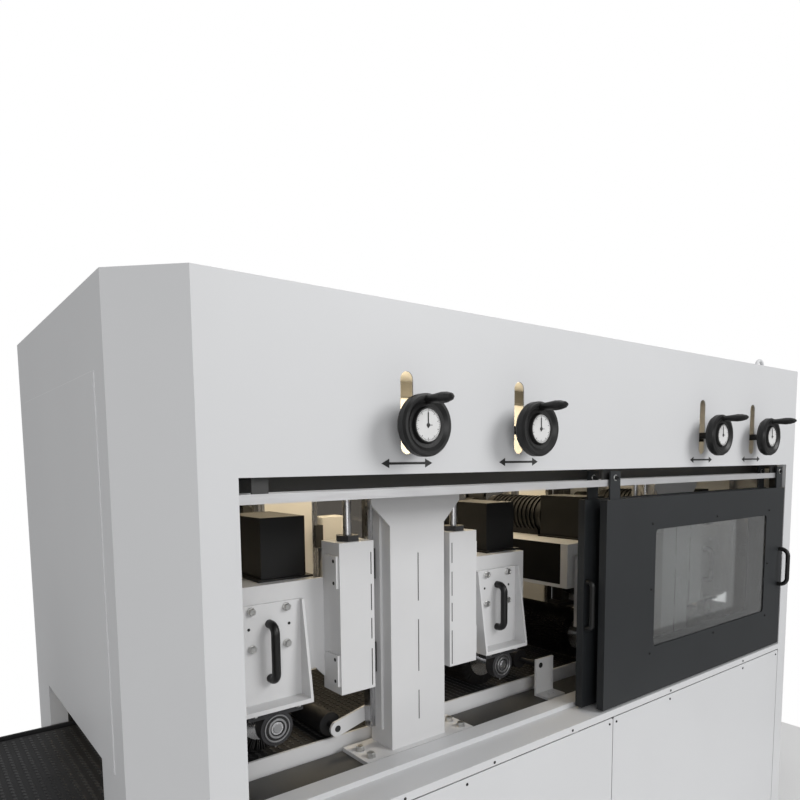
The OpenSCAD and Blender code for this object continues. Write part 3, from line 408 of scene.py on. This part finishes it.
def add_tuft(bm, sections):
    """Adds a tapered block through sections of four corners, from its root to its tip."""
    for lower, upper in zip(sections, sections[1:]):
        for k in range(4):
            m = (k + 1) % 4
            bm.faces.new((lower[k], lower[m], upper[m], upper[k]))
    bm.faces.new(sections[-1])
    bm.faces.new(sections[0][::-1])


def make_bristles(h):
    """Dense radial filament tufts in the space of the CAD strands."""
    low, high = lo_hi(f"head_{h}_bristles")
    axis_x = (low.x + high.x) / 2
    axis_z = (low.z + high.z) / 2
    outer = (high.z - low.z) / 2
    length = high.y - low.y
    root = outer * ROOT_SHARE
    bm = bmesh.new()
    add_lathe(bm, (axis_x, low.y, axis_z), (0, 1, 0),
              [(root * 0.97, 0), (root, 0), (root, length), (root * 0.97, length)], 48)
    pitch = length / TUFT_ROWS
    half = root * math.pi / TUFTS_ROUND * 0.62
    wide = pitch * 0.44
    for row in range(TUFT_ROWS):
        y = low.y + (row + 0.5) * pitch
        for i in range(TUFTS_ROUND):
            a = math.tau * (i + 0.5 * (row % 2)) / TUFTS_ROUND + random.uniform(-0.012, 0.012)
            lean = a + random.uniform(-0.02, 0.02)
            reach = outer * random.uniform(0.985, 1.0)
            sections = []
            for r, angle, w, d in ((root * 0.98, a, half, wide),
                                   (reach * 0.9, lean, half * 0.85, wide * 1.05),
                                   (reach, lean, half * 0.6, wide * 0.9)):
                out = Vector((math.cos(angle), 0, math.sin(angle)))
                side = Vector((-math.sin(angle), 0, math.cos(angle)))
                centre = Vector((axis_x, y, axis_z)) + out * math.sqrt(max(r * r - w * w, 0))
                sections.append([bm.verts.new(centre + side * (sx * w) + Vector((0, sy * d, 0)))
                                 for sx, sy in CORNERS])
            add_tuft(bm, sections)
    obj = piece(f"bristles_{h}", bm, f"brush_{h}", FILAMENT)
    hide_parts(f"head_{h}_bristles")


for h in HEADS:
    make_bristles(h)

# Brush brackets

PLATE_OUT = 0.351
BRACKET_BOLT_DX = 0.052
BRACKET_BOLT_ZS = (1.254, 1.356)
BEARING_BOLT_DX = 0.065
BEARING_BOLT_IN = 0.022
BRACKET_HOLE_DX = 0.06
BRACKET_HOLE_Z = 1.308
BRACKET_HOLE_R = 0.0042


def bracket_fittings(h):
    """Bolts of the bracket and of the bearing housing under its shelf, and dark discs of painted shade
    for the bracket's two holes.
    """
    body = f"head_{h}"
    low, high = lo_hi(f"head_{h}_bracket")
    centre_x = (low.x + high.x) / 2
    plate_y = middle(f"head_{h}_bristles").y - PLATE_OUT
    bolts = bmesh.new()
    for dx in (-BRACKET_BOLT_DX, BRACKET_BOLT_DX):
        for z in BRACKET_BOLT_ZS:
            add_hex_bolt(bolts, (centre_x + dx, plate_y, z), TO_FRONT)
    for dx in (-BEARING_BOLT_DX, BEARING_BOLT_DX):
        place = (centre_x + dx, low.y + BEARING_BOLT_IN, low.z)
        add_hex_bolt(bolts, place, DOWN, flat=0.015, head=0.009)
    piece(f"bracket_bolts_{h}", bolts, body, ZINC)
    # Painted shade: flat dark discs stand for the bracket's two holes
    holes = bmesh.new()
    hole = [(BRACKET_HOLE_R, 0), (BRACKET_HOLE_R, MARK_T), (0, MARK_T)]
    for dx in (-BRACKET_HOLE_DX, BRACKET_HOLE_DX):
        add_lathe(holes, (centre_x + dx, plate_y, BRACKET_HOLE_Z), TO_FRONT, hole, 16)
    piece(f"bracket_holes_{h}", holes, body, SHADOW)


for h in HEADS:
    bracket_fittings(h)

# Posts

POST_SLITS = ((1.335, 1.480), (1.119, 1.278), (0.970, 1.060))
POST_SLIT_W = 0.0032
BASE_BOLT_DX = 0.177
BASE_BOLT_YS = (-0.447, -0.391)
BASE_TOP_Z = 0.898


def add_slit(bm, x, low_z, high_z, width, y):
    """A thin dark mark of painted shade, for a slit in a face that looks towards the front."""
    add_box(bm, (x - width / 2, y - MARK_T, low_z), (x + width / 2, y + SUNK, high_z))


# Painted shade in the weld slits of the posts
slits = bmesh.new()
for x in POST_XS:
    for low_z, high_z in POST_SLITS:
        add_slit(slits, x, low_z, high_z, POST_SLIT_W, POST_FACE_Y)
piece("post_slits", slits, "root", SLIT_SHADE)

base_bolts = bmesh.new()
for x in POST_XS:
    for dx in (-BASE_BOLT_DX, BASE_BOLT_DX):
        for y in BASE_BOLT_YS:
            place = (x + dx, MID_Y + y, BASE_TOP_Z)
            add_hex_bolt(base_bolts, place, (0, 0, 1), flat=0.022, head=0.012)
piece("post_base_bolts", base_bolts, "root", ZINC)

# Columns and bearings

COLUMN_SLITS = ((1.430, 1.494), (1.325, 1.402), (1.242, 1.302), (1.104, 1.213))
COLUMN_SLIT_W = 0.0027
COLUMN_SLIT_DX = 0.048
COLUMN_HALF_W = 0.058
BAR_T = 0.008
BAR_HOLE_IN = 0.020
BAR_HOLE_ZS = (1.414, 1.476, 1.134, 1.196)
BAR_HOLE = [(0.0052, -0.0002), (0.0052, 0.0005), (0, 0.0005)]
OUTER_RACE = [(0.0385, 0), (0.0385, 0.003), (0.0375, 0.0042), (0.0350, 0.0042), (0.0342, 0.0034),
              (0.0342, 0)]
INNER_RACE = [(0.0272, 0), (0.0272, 0.0048), (0.0264, 0.0055), (0.0222, 0.0055), (0.0215, 0.0048),
              (0.0215, 0)]
SHAFT_END = [(0.0125, 0), (0.0125, 0.0042), (0.0115, 0.0052), (0, 0.0052)]
# A dark disc of painted shade behind the races, showing through the gaps between them
BEARING_GAP_SHADE = [(0.0345, 0), (0.0345, 0.0014), (0, 0.0014)]
NIPPLE = [(0.003, -0.002), (0.003, 0.004), (0.0018, 0.005), (0.0018, 0.009), (0, 0.0095)]
NIPPLE_BACK = 0.012
NIPPLE_DROP = 0.0485
FACE_IN = 0.0005


def column_marks(h):
    """Painted shade in the weld slits on the column's front and in the tapped holes of the two bars on
    its outer side.
    """
    toward_post = -side_of(h)
    marks = bmesh.new()
    for low_z, high_z in COLUMN_SLITS:
        x = screw_x(h) + toward_post * COLUMN_SLIT_DX
        add_slit(marks, x, low_z, high_z, COLUMN_SLIT_W, COLUMN_FACE_Y)
    bar_x = screw_x(h) - toward_post * (COLUMN_HALF_W + BAR_T)
    for z in BAR_HOLE_ZS:
        add_lathe(marks, (bar_x, COLUMN_FACE_Y + BAR_HOLE_IN, z), (-toward_post, 0, 0), BAR_HOLE, 20)
    piece(f"column_slits_{h}", marks, f"head_{h}", SHADOW)


def bearing_front(h):
    """The front of the casting that reaches furthest forward under the shelf, the bearing housing."""
    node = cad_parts[f"head_{h}_castings"]
    axis_z = middle(f"head_{h}_brush_core").z
    places = [node.matrix_world @ v.co for v in node.data.vertices]
    return min(place.y for place in places if place.z < axis_z)


def bearing_face(h):
    """Dark disc of painted shade for the gaps between the races, steel races, shaft end and grease nipple
    of the front bearing.
    """
    axis = middle(f"head_{h}_brush_core")
    front_y = bearing_front(h)
    place = (axis.x, front_y + FACE_IN, axis.z)
    # Painted shade: a dark disc shows through the gaps between the races
    gap_shade = bmesh.new()
    add_lathe(gap_shade, place, TO_FRONT, BEARING_GAP_SHADE, 56)
    piece(f"bearing_gap_shade_{h}", gap_shade, f"head_{h}", SHADOW)
    ring = bmesh.new()
    add_lathe(ring, place, TO_FRONT, OUTER_RACE, 56)
    add_lathe(ring, place, TO_FRONT, INNER_RACE, 56)
    add_lathe(ring, place, TO_FRONT, SHAFT_END, 40)
    add_lathe(ring, (axis.x, front_y + NIPPLE_BACK, axis.z - NIPPLE_DROP), DOWN, NIPPLE, 12)
    piece(f"bearing_ring_{h}", ring, f"head_{h}", GROUND, smooth=True)


for h in HEADS:
    column_marks(h)
    bearing_face(h)

# Beams: a dark sheet of painted shade on the outer side, above its lower flange

BEAM_HALF_W = 0.148
BEAM_FRONT = 0.341 - 0.034
BEAM_BACK = 0.300
SHADE_LOW_Z = 1.259
SHADE_HIGH_Z = 1.420

for h in HEADS:
    x = middle(f"head_{h}_bracket").x + side_of(h) * BEAM_HALF_W
    near_x, far_x = sorted((x - side_of(h) * SUNK, x + side_of(h) * MARK_T))
    # Painted shade: a dark sheet stands for the shaded open side of the beam
    side_shade_sheet = bmesh.new()
    add_box(side_shade_sheet, (near_x, MID_Y - BEAM_FRONT, SHADE_LOW_Z), (far_x, MID_Y + BEAM_BACK, SHADE_HIGH_Z))
    piece(f"beam_side_shade_{h}", side_shade_sheet, f"head_{h}", BLACK)

# Doors

DOOR_W = 1.345
DOOR_LOW_Z = 0.898
WINDOW_LEFT = 0.298
WINDOW_RIGHT = 1.178
WINDOW_LOW = 0.170
WINDOW_HIGH = 0.600
WINDOW_SCREW_OUT = 0.022
HANGER_IN = 0.048
HANGER_SCREW_Z = 1.711 - 0.022
HANGER_FACE = 0.003
WASHER = [(0.0105, -0.0005), (0.0105, 0.0012), (0.0098, 0.0018), (0, 0.0018)]
SOCKET_SCREW = [(0.0072, 0), (0.0072, 0.0055), (0.0062, 0.0068), (0.004, 0.0068), (0.0036, 0.003),
                (0, 0.003)]
SCREW_BACK = Vector((0, -0.0015, 0))


def door_screws(body, face_y):
    """Screws round a door's window, and a washer and a socket screw on each hanger."""
    door_x = lo_hi(f"{body}_leaf")[0].x
    left_x = door_x + WINDOW_LEFT - WINDOW_SCREW_OUT
    right_x = door_x + WINDOW_RIGHT + WINDOW_SCREW_OUT
    low_z = DOOR_LOW_Z + WINDOW_LOW - WINDOW_SCREW_OUT
    high_z = DOOR_LOW_Z + WINDOW_HIGH + WINDOW_SCREW_OUT
    screws = bmesh.new()
    for x in (left_x, (left_x + right_x) / 2, right_x):
        for z in (low_z, high_z):
            add_button_screw(screws, (x, face_y, z), TO_FRONT)
    for x in (left_x, right_x):
        add_button_screw(screws, (x, face_y, (low_z + high_z) / 2), TO_FRONT)
    piece(f"{body}_window_screws", screws, body, PLASTIC)
    washers = bmesh.new()
    sockets = bmesh.new()
    for x in (door_x + HANGER_IN, door_x + DOOR_W - HANGER_IN):
        place = Vector((x, face_y + HANGER_FACE, HANGER_SCREW_Z))
        add_lathe(washers, place, TO_FRONT, WASHER, 28)
        add_lathe(sockets, place + SCREW_BACK, TO_FRONT, SOCKET_SCREW, 24)
    piece(f"{body}_hanger_washers", washers, body, ZINC)
    piece(f"{body}_hanger_screws", sockets, body, PLASTIC)


door_screws("front_door", MID_Y - 0.661)
door_screws("rear_door", MID_Y - 0.596)

# Sill, lower panels and floor channel

PLUG_XS = (-1.20, -0.8815, -0.55, -0.1893, 0.40, 0.98)
PLUG_Z = 0.8755
PLUG = [(0.0045, -0.0002), (0.0045, 0.0008), (0, 0.0012)]
PANEL_EDGE_X = 0.02
PANEL_EDGE_Z = 0.018
PANEL_SCREW_XS = (-0.66, 0.012, 0.052, 0.396, 0.98)
SLOT_XS = ((-1.30, -1.19), (-1.163, -1.06), (-1.027, -0.90), (-0.873, -0.727), (-0.689, -0.547),
           (-0.50, -0.38), (-0.34, -0.20))
SLOT_FRONT_Y = MID_Y - 0.4955
SLOT_BACK_Y = MID_Y - 0.4890

plugs = bmesh.new()
for x in PLUG_XS:
    add_lathe(plugs, (x, FRONT, PLUG_Z), TO_FRONT, PLUG, 16)
piece("sill_plugs", plugs, "root", SHADOW)

panel_low, panel_high = lo_hi("lower_front_panels")
panel_screws = bmesh.new()
for x in (panel_low.x + PANEL_EDGE_X, *PANEL_SCREW_XS, panel_high.x - PANEL_EDGE_X):
    for z in (panel_high.z - PANEL_EDGE_Z, panel_low.z + PANEL_EDGE_Z):
        add_button_screw(panel_screws, (x, panel_low.y, z), TO_FRONT, d=0.0085, head=0.0026)
piece("panel_screws", panel_screws, "root", PLASTIC)

# Painted shade: dark strips in the slots of the floor channel
channel = bmesh.new()
for left_x, right_x in SLOT_XS:
    add_box(channel, (left_x, SLOT_FRONT_Y, 0.8895), (right_x, SLOT_BACK_Y, 0.8908))
piece("channel_slots", channel, "root", SHADOW)

# Painted highlight: a light line round the panel of each end, over the port, where its edge catches the
# light

END_FACE_X = 1.5332
END_HALF_D = 0.4485
END_LOW_Z = 1.060
END_HIGH_Z = 1.9465
EDGE_HALF_W = 0.0011
CROSS_HALF_W = 0.001


def end_panel_edge(name, side):
    """A thin raised line along the four edges of an end panel, lighter than the panel as a painted
    highlight.
    """
    near_x, far_x = sorted((side * END_FACE_X - MARK_T, side * END_FACE_X + MARK_T))
    edge = bmesh.new()
    for y in (MID_Y - END_HALF_D, MID_Y + END_HALF_D):
        add_box(edge, (near_x, y - EDGE_HALF_W, END_LOW_Z), (far_x, y + EDGE_HALF_W, END_HIGH_Z))
    for z in (END_LOW_Z + CROSS_HALF_W, END_HIGH_Z):
        add_box(edge, (near_x, MID_Y - END_HALF_D, z - CROSS_HALF_W),
                (far_x, MID_Y + END_HALF_D, z + CROSS_HALF_W))
    piece(name, edge, "root", EDGE_HIGHLIGHT)


end_panel_edge("end_panel_highlight_left", -1)
end_panel_edge("end_panel_highlight_right", 1)

# Raised crescent studs of the rough-top belt, on the upper run

STUD_PITCH_X = 0.0225
STUD_PITCH_Y = 0.0205
BELT_END_FREE = 0.10
BELT_SIDE_FREE = 0.012
STUD_HALF_W = 0.0096
STUD_NOSE = 0.0092
STUD_HEEL = 0.0052
STUD_INNER = 0.0050
STUD_LEAN = 0.0006
STUD_H = 0.0017
ARC_STEPS = [math.radians(-70 + 35 * k) for k in range(5)]


def add_stud(bm, x, y, top):
    """A crescent: an arc outside, a flatter arc inside, sloping up towards the outer edge."""
    outer = [(x - STUD_NOSE * math.cos(a), y + STUD_HALF_W * math.sin(a)) for a in ARC_STEPS]
    inner = [(x + STUD_HEEL - STUD_INNER * math.cos(a), y + STUD_HALF_W * math.sin(a))
             for a in ARC_STEPS]
    crest = [bm.verts.new((px, py, top + STUD_H)) for px, py in outer]
    heel = [bm.verts.new((px, py, top - SUNK)) for px, py in inner]
    foot = [bm.verts.new((px - STUD_LEAN, py, top - SUNK)) for px, py in outer]
    for k in range(len(ARC_STEPS) - 1):
        bm.faces.new((crest[k], crest[k + 1], heel[k + 1], heel[k]))
        bm.faces.new((foot[k + 1], crest[k + 1], crest[k], foot[k]))
    bm.faces.new((crest[0], heel[0], foot[0]))
    bm.faces.new((crest[-1], foot[-1], heel[-1]))


def belt_studs():
    """Rows of studs over the whole upper run, every other row shifted by half a pitch."""
    low, high = lo_hi("conveyor_belt")
    rows = int((high.x - low.x - BELT_END_FREE) / STUD_PITCH_X)
    across = int((high.y - low.y - BELT_SIDE_FREE) / STUD_PITCH_Y)
    start_x = (low.x + high.x) / 2 - (rows - 1) / 2 * STUD_PITCH_X
    start_y = (low.y + high.y) / 2 - (across - 1) / 2 * STUD_PITCH_Y
    studs = bmesh.new()
    for i in range(rows):
        for j in range(across):
            y = start_y + (j + 0.5 * (i % 2) - 0.25) * STUD_PITCH_Y
            add_stud(studs, start_x + i * STUD_PITCH_X, y, high.z)
    piece("belt_studs", studs, "root", BELT_TOP)


belt_studs()

# Handwheel dials and the arrows under them

WHEEL_Z = 1.836
DIAL_Y = FRONT - 0.0799
DIAL_FACE = [(0.0412, 0), (0.0412, 0.001), (0, 0.001)]
TICKS = 50
TICKS_PER_LONG = 5
TICK_R = 0.0375
TICK_Y = DIAL_Y - 0.0014
TICK_T = Vector((0, 0.0006, 0))
POINTER_Y = DIAL_Y - 0.0012
HUB = [(0.0048, 0), (0.0048, 0.0014), (0, 0.0018)]


def dial_ticks(h, centre):
    """Plain ticks round the dial, every fifth one longer and wider."""
    ticks = bmesh.new()
    for i in range(TICKS):
        a = math.tau * i / TICKS
        is_long = i % TICKS_PER_LONG == 0
        length = 0.0075 if is_long else 0.004
        out = Vector((math.sin(a), 0, math.cos(a)))
        side = Vector((math.cos(a), 0, -math.sin(a))) * (0.0006 if is_long else 0.0004)
        inner = centre + out * (TICK_R - length)
        outer = centre + out * TICK_R
        quad = [inner - side, inner + side, outer + side, outer - side]
        near = [ticks.verts.new(p) for p in quad]
        far = [ticks.verts.new(p + TICK_T) for p in quad]
        ticks.faces.new(near)
        ticks.faces.new(far[::-1])
        for k in range(4):
            m = (k + 1) % 4
            ticks.faces.new((near[k], far[k], far[m], near[m]))
    piece(f"dial_ticks_{h}", ticks, f"handwheel_{h}", INK)


def dial(h):
    """White dial face, ticks, and a hub with a long and a short hand."""
    body = f"handwheel_{h}"
    cx = screw_x(h)
    face = bmesh.new()
    add_lathe(face, (cx, DIAL_Y, WHEEL_Z), TO_FRONT, DIAL_FACE, 64)
    piece(f"dial_face_{h}", face, body, DIAL)
    dial_ticks(h, Vector((cx, TICK_Y, WHEEL_Z)))
    y = POINTER_Y
    hand = bmesh.new()
    add_lathe(hand, (cx, y, WHEEL_Z), TO_FRONT, HUB, 24)
    add_box(hand, (cx - 0.0014, y - 0.0012, WHEEL_Z - 0.007), (cx + 0.0014, y, WHEEL_Z + 0.030))
    add_box(hand, (cx - 0.0007, y - 0.0009, WHEEL_Z - 0.0007), (cx + 0.013, y, WHEEL_Z + 0.0007))
    piece(f"dial_pointer_{h}", hand, body, INK)


for h in HEADS:
    dial(h)

ARROW_Z = 1.7455
ARROW_HALF = 0.081
ARROW_TIP = 0.024
ARROW_NECK = 0.0115
ARROW_SHAFT = 0.003
ARROW_T = 0.0004


def arrow_outline():
    """A double-headed arrow about its centre, mirrored from its upper half."""
    inner = ARROW_HALF - ARROW_TIP
    upper = [(-ARROW_HALF, 0), (-inner, ARROW_NECK), (-inner, ARROW_SHAFT), (inner, ARROW_SHAFT),
             (inner, ARROW_NECK), (ARROW_HALF, 0)]
    return upper + [(x, -z) for x, z in upper[-2:0:-1]]


arrows = bmesh.new()
for h in HEADS:
    outline = [(screw_x(h) + x, ARROW_Z + z) for x, z in arrow_outline()]
    near = [arrows.verts.new((x, FRONT - ARROW_T, z)) for x, z in outline]
    far = [arrows.verts.new((x, FRONT, z)) for x, z in outline]
    arrows.faces.new(near)
    arrows.faces.new(far[::-1])
    for k in range(len(outline)):
        m = (k + 1) % len(outline)
        arrows.faces.new((near[k], far[k], far[m], near[m]))
piece("direction_arrows", arrows, "root", INK)

# Lights


def area_light(name, place, target, size, power, colour=(1, 1, 1)):
    """A rectangular lamp at a place, aimed at a target."""
    data = bpy.data.lights.new(name, "AREA")
    data.shape = "RECTANGLE"
    data.size, data.size_y = size
    data.energy = power
    data.color = colour
    obj = bpy.data.objects.new(name, data)
    obj.location = place
    obj.rotation_euler = (Vector(target) - Vector(place)).to_track_quat("-Z", "Y").to_euler()
    bpy.context.scene.collection.objects.link(obj)


area_light("key", (2.6, -5.6, 4.6), (0.3, -0.5, 1.3), (3.2, 3.2), 250)
area_light("fill", (-3.2, -5.4, 2.6), (-0.5, 0, 1.3), (3.0, 3.0), 95)
area_light("top", (0, 0.5, 6.0), (0, 0, 1.5), (5.0, 3.0), 90)
area_light("left", (-6.5, 0.8, 3.0), (-1.5, 0, 1.2), (3.0, 3.0), 52)
# The machine's own lamp under the roof, warm as in the photograph
area_light("chamber_lamp", (0.0, 0.35, 2.10), (0.0, 0.35, 1.0), (2.3, 0.12), 9, (1.0, 0.84, 0.60))
area_light("chamber_lamp_back", (0.0, 0.15, 2.06), (0.0, 0.75, 1.98), (2.3, 0.1), 20, (1.0, 0.80, 0.50))

# Background: dim where it lights the part, white where the camera sees it, also through a pane

DIM = 0.34
world = bpy.data.worlds.new("studio")
bpy.context.scene.world = world
world.use_nodes = True
tree = world.node_tree
lit = tree.nodes["Background"]
lit.inputs["Color"].default_value = (1, 1, 1, 1)
lit.inputs["Strength"].default_value = DIM
seen = tree.nodes.new("ShaderNodeBackground")
seen.inputs["Color"].default_value = (1, 1, 1, 1)
seen.inputs["Strength"].default_value = 1.0
path = tree.nodes.new("ShaderNodeLightPath")
either = tree.nodes.new("ShaderNodeMath")
either.operation = "MAXIMUM"
mix = tree.nodes.new("ShaderNodeMixShader")
tree.links.new(path.outputs["Is Camera Ray"], either.inputs[0])
tree.links.new(path.outputs["Is Transmission Ray"], either.inputs[1])
tree.links.new(either.outputs[0], mix.inputs["Fac"])
tree.links.new(lit.outputs[0], mix.inputs[1])
tree.links.new(seen.outputs[0], mix.inputs[2])
tree.links.new(mix.outputs[0], tree.nodes["World Output"].inputs["Surface"])

# Floor

FLOOR_R = 2.7
FLOOR_SIDES = 64
FLOOR_GREY = surface("floor_grey", (0.8, 0.8, 0.8), 0.7, vary=0.01, cloud=0.6, grain=60, bump=0.02)

floor_bm = bmesh.new()
floor_ring = []
for i in range(FLOOR_SIDES):
    a = math.tau * i / FLOOR_SIDES
    floor_ring.append(floor_bm.verts.new((FLOOR_R * math.cos(a), FLOOR_R * math.sin(a), 0)))
floor_bm.faces.new(floor_ring)
floor_mesh = bpy.data.meshes.new("studio_floor")
floor_bm.to_mesh(floor_mesh)
floor_bm.free()
floor = bpy.data.objects.new("studio_floor", floor_mesh)
bpy.context.scene.collection.objects.link(floor)
floor_mesh.materials.append(FLOOR_GREY)

# Camera, fitted to the photograph's straight edges

CAMERA = Vector((-1.884, -1.865, 1.750))
YAW = math.radians(37.693)
PITCH = math.radians(-5.444)
ROLL = math.radians(-0.567)
SENSOR_MM = 36
LENS_MM = 29.51
SHIFT_Y = 0.155

forward = Vector((math.sin(YAW) * math.cos(PITCH), math.cos(YAW) * math.cos(PITCH), math.sin(PITCH)))
level_right = Vector((math.cos(YAW), -math.sin(YAW), 0))
level_up = level_right.cross(forward)
right = level_right * math.cos(ROLL) + level_up * math.sin(ROLL)
up = level_up * math.cos(ROLL) - level_right * math.sin(ROLL)
cam_data = bpy.data.cameras.new("camera")
cam_data.sensor_width = SENSOR_MM
cam_data.lens = LENS_MM
cam_data.shift_y = SHIFT_Y
cam = bpy.data.objects.new("camera", cam_data)
cam.matrix_world = Matrix.Translation(CAMERA) @ Matrix((right, up, -forward)).transposed().to_4x4()
bpy.context.scene.collection.objects.link(cam)
bpy.context.scene.camera = cam
bpy.context.scene.view_settings.view_transform = "Standard"
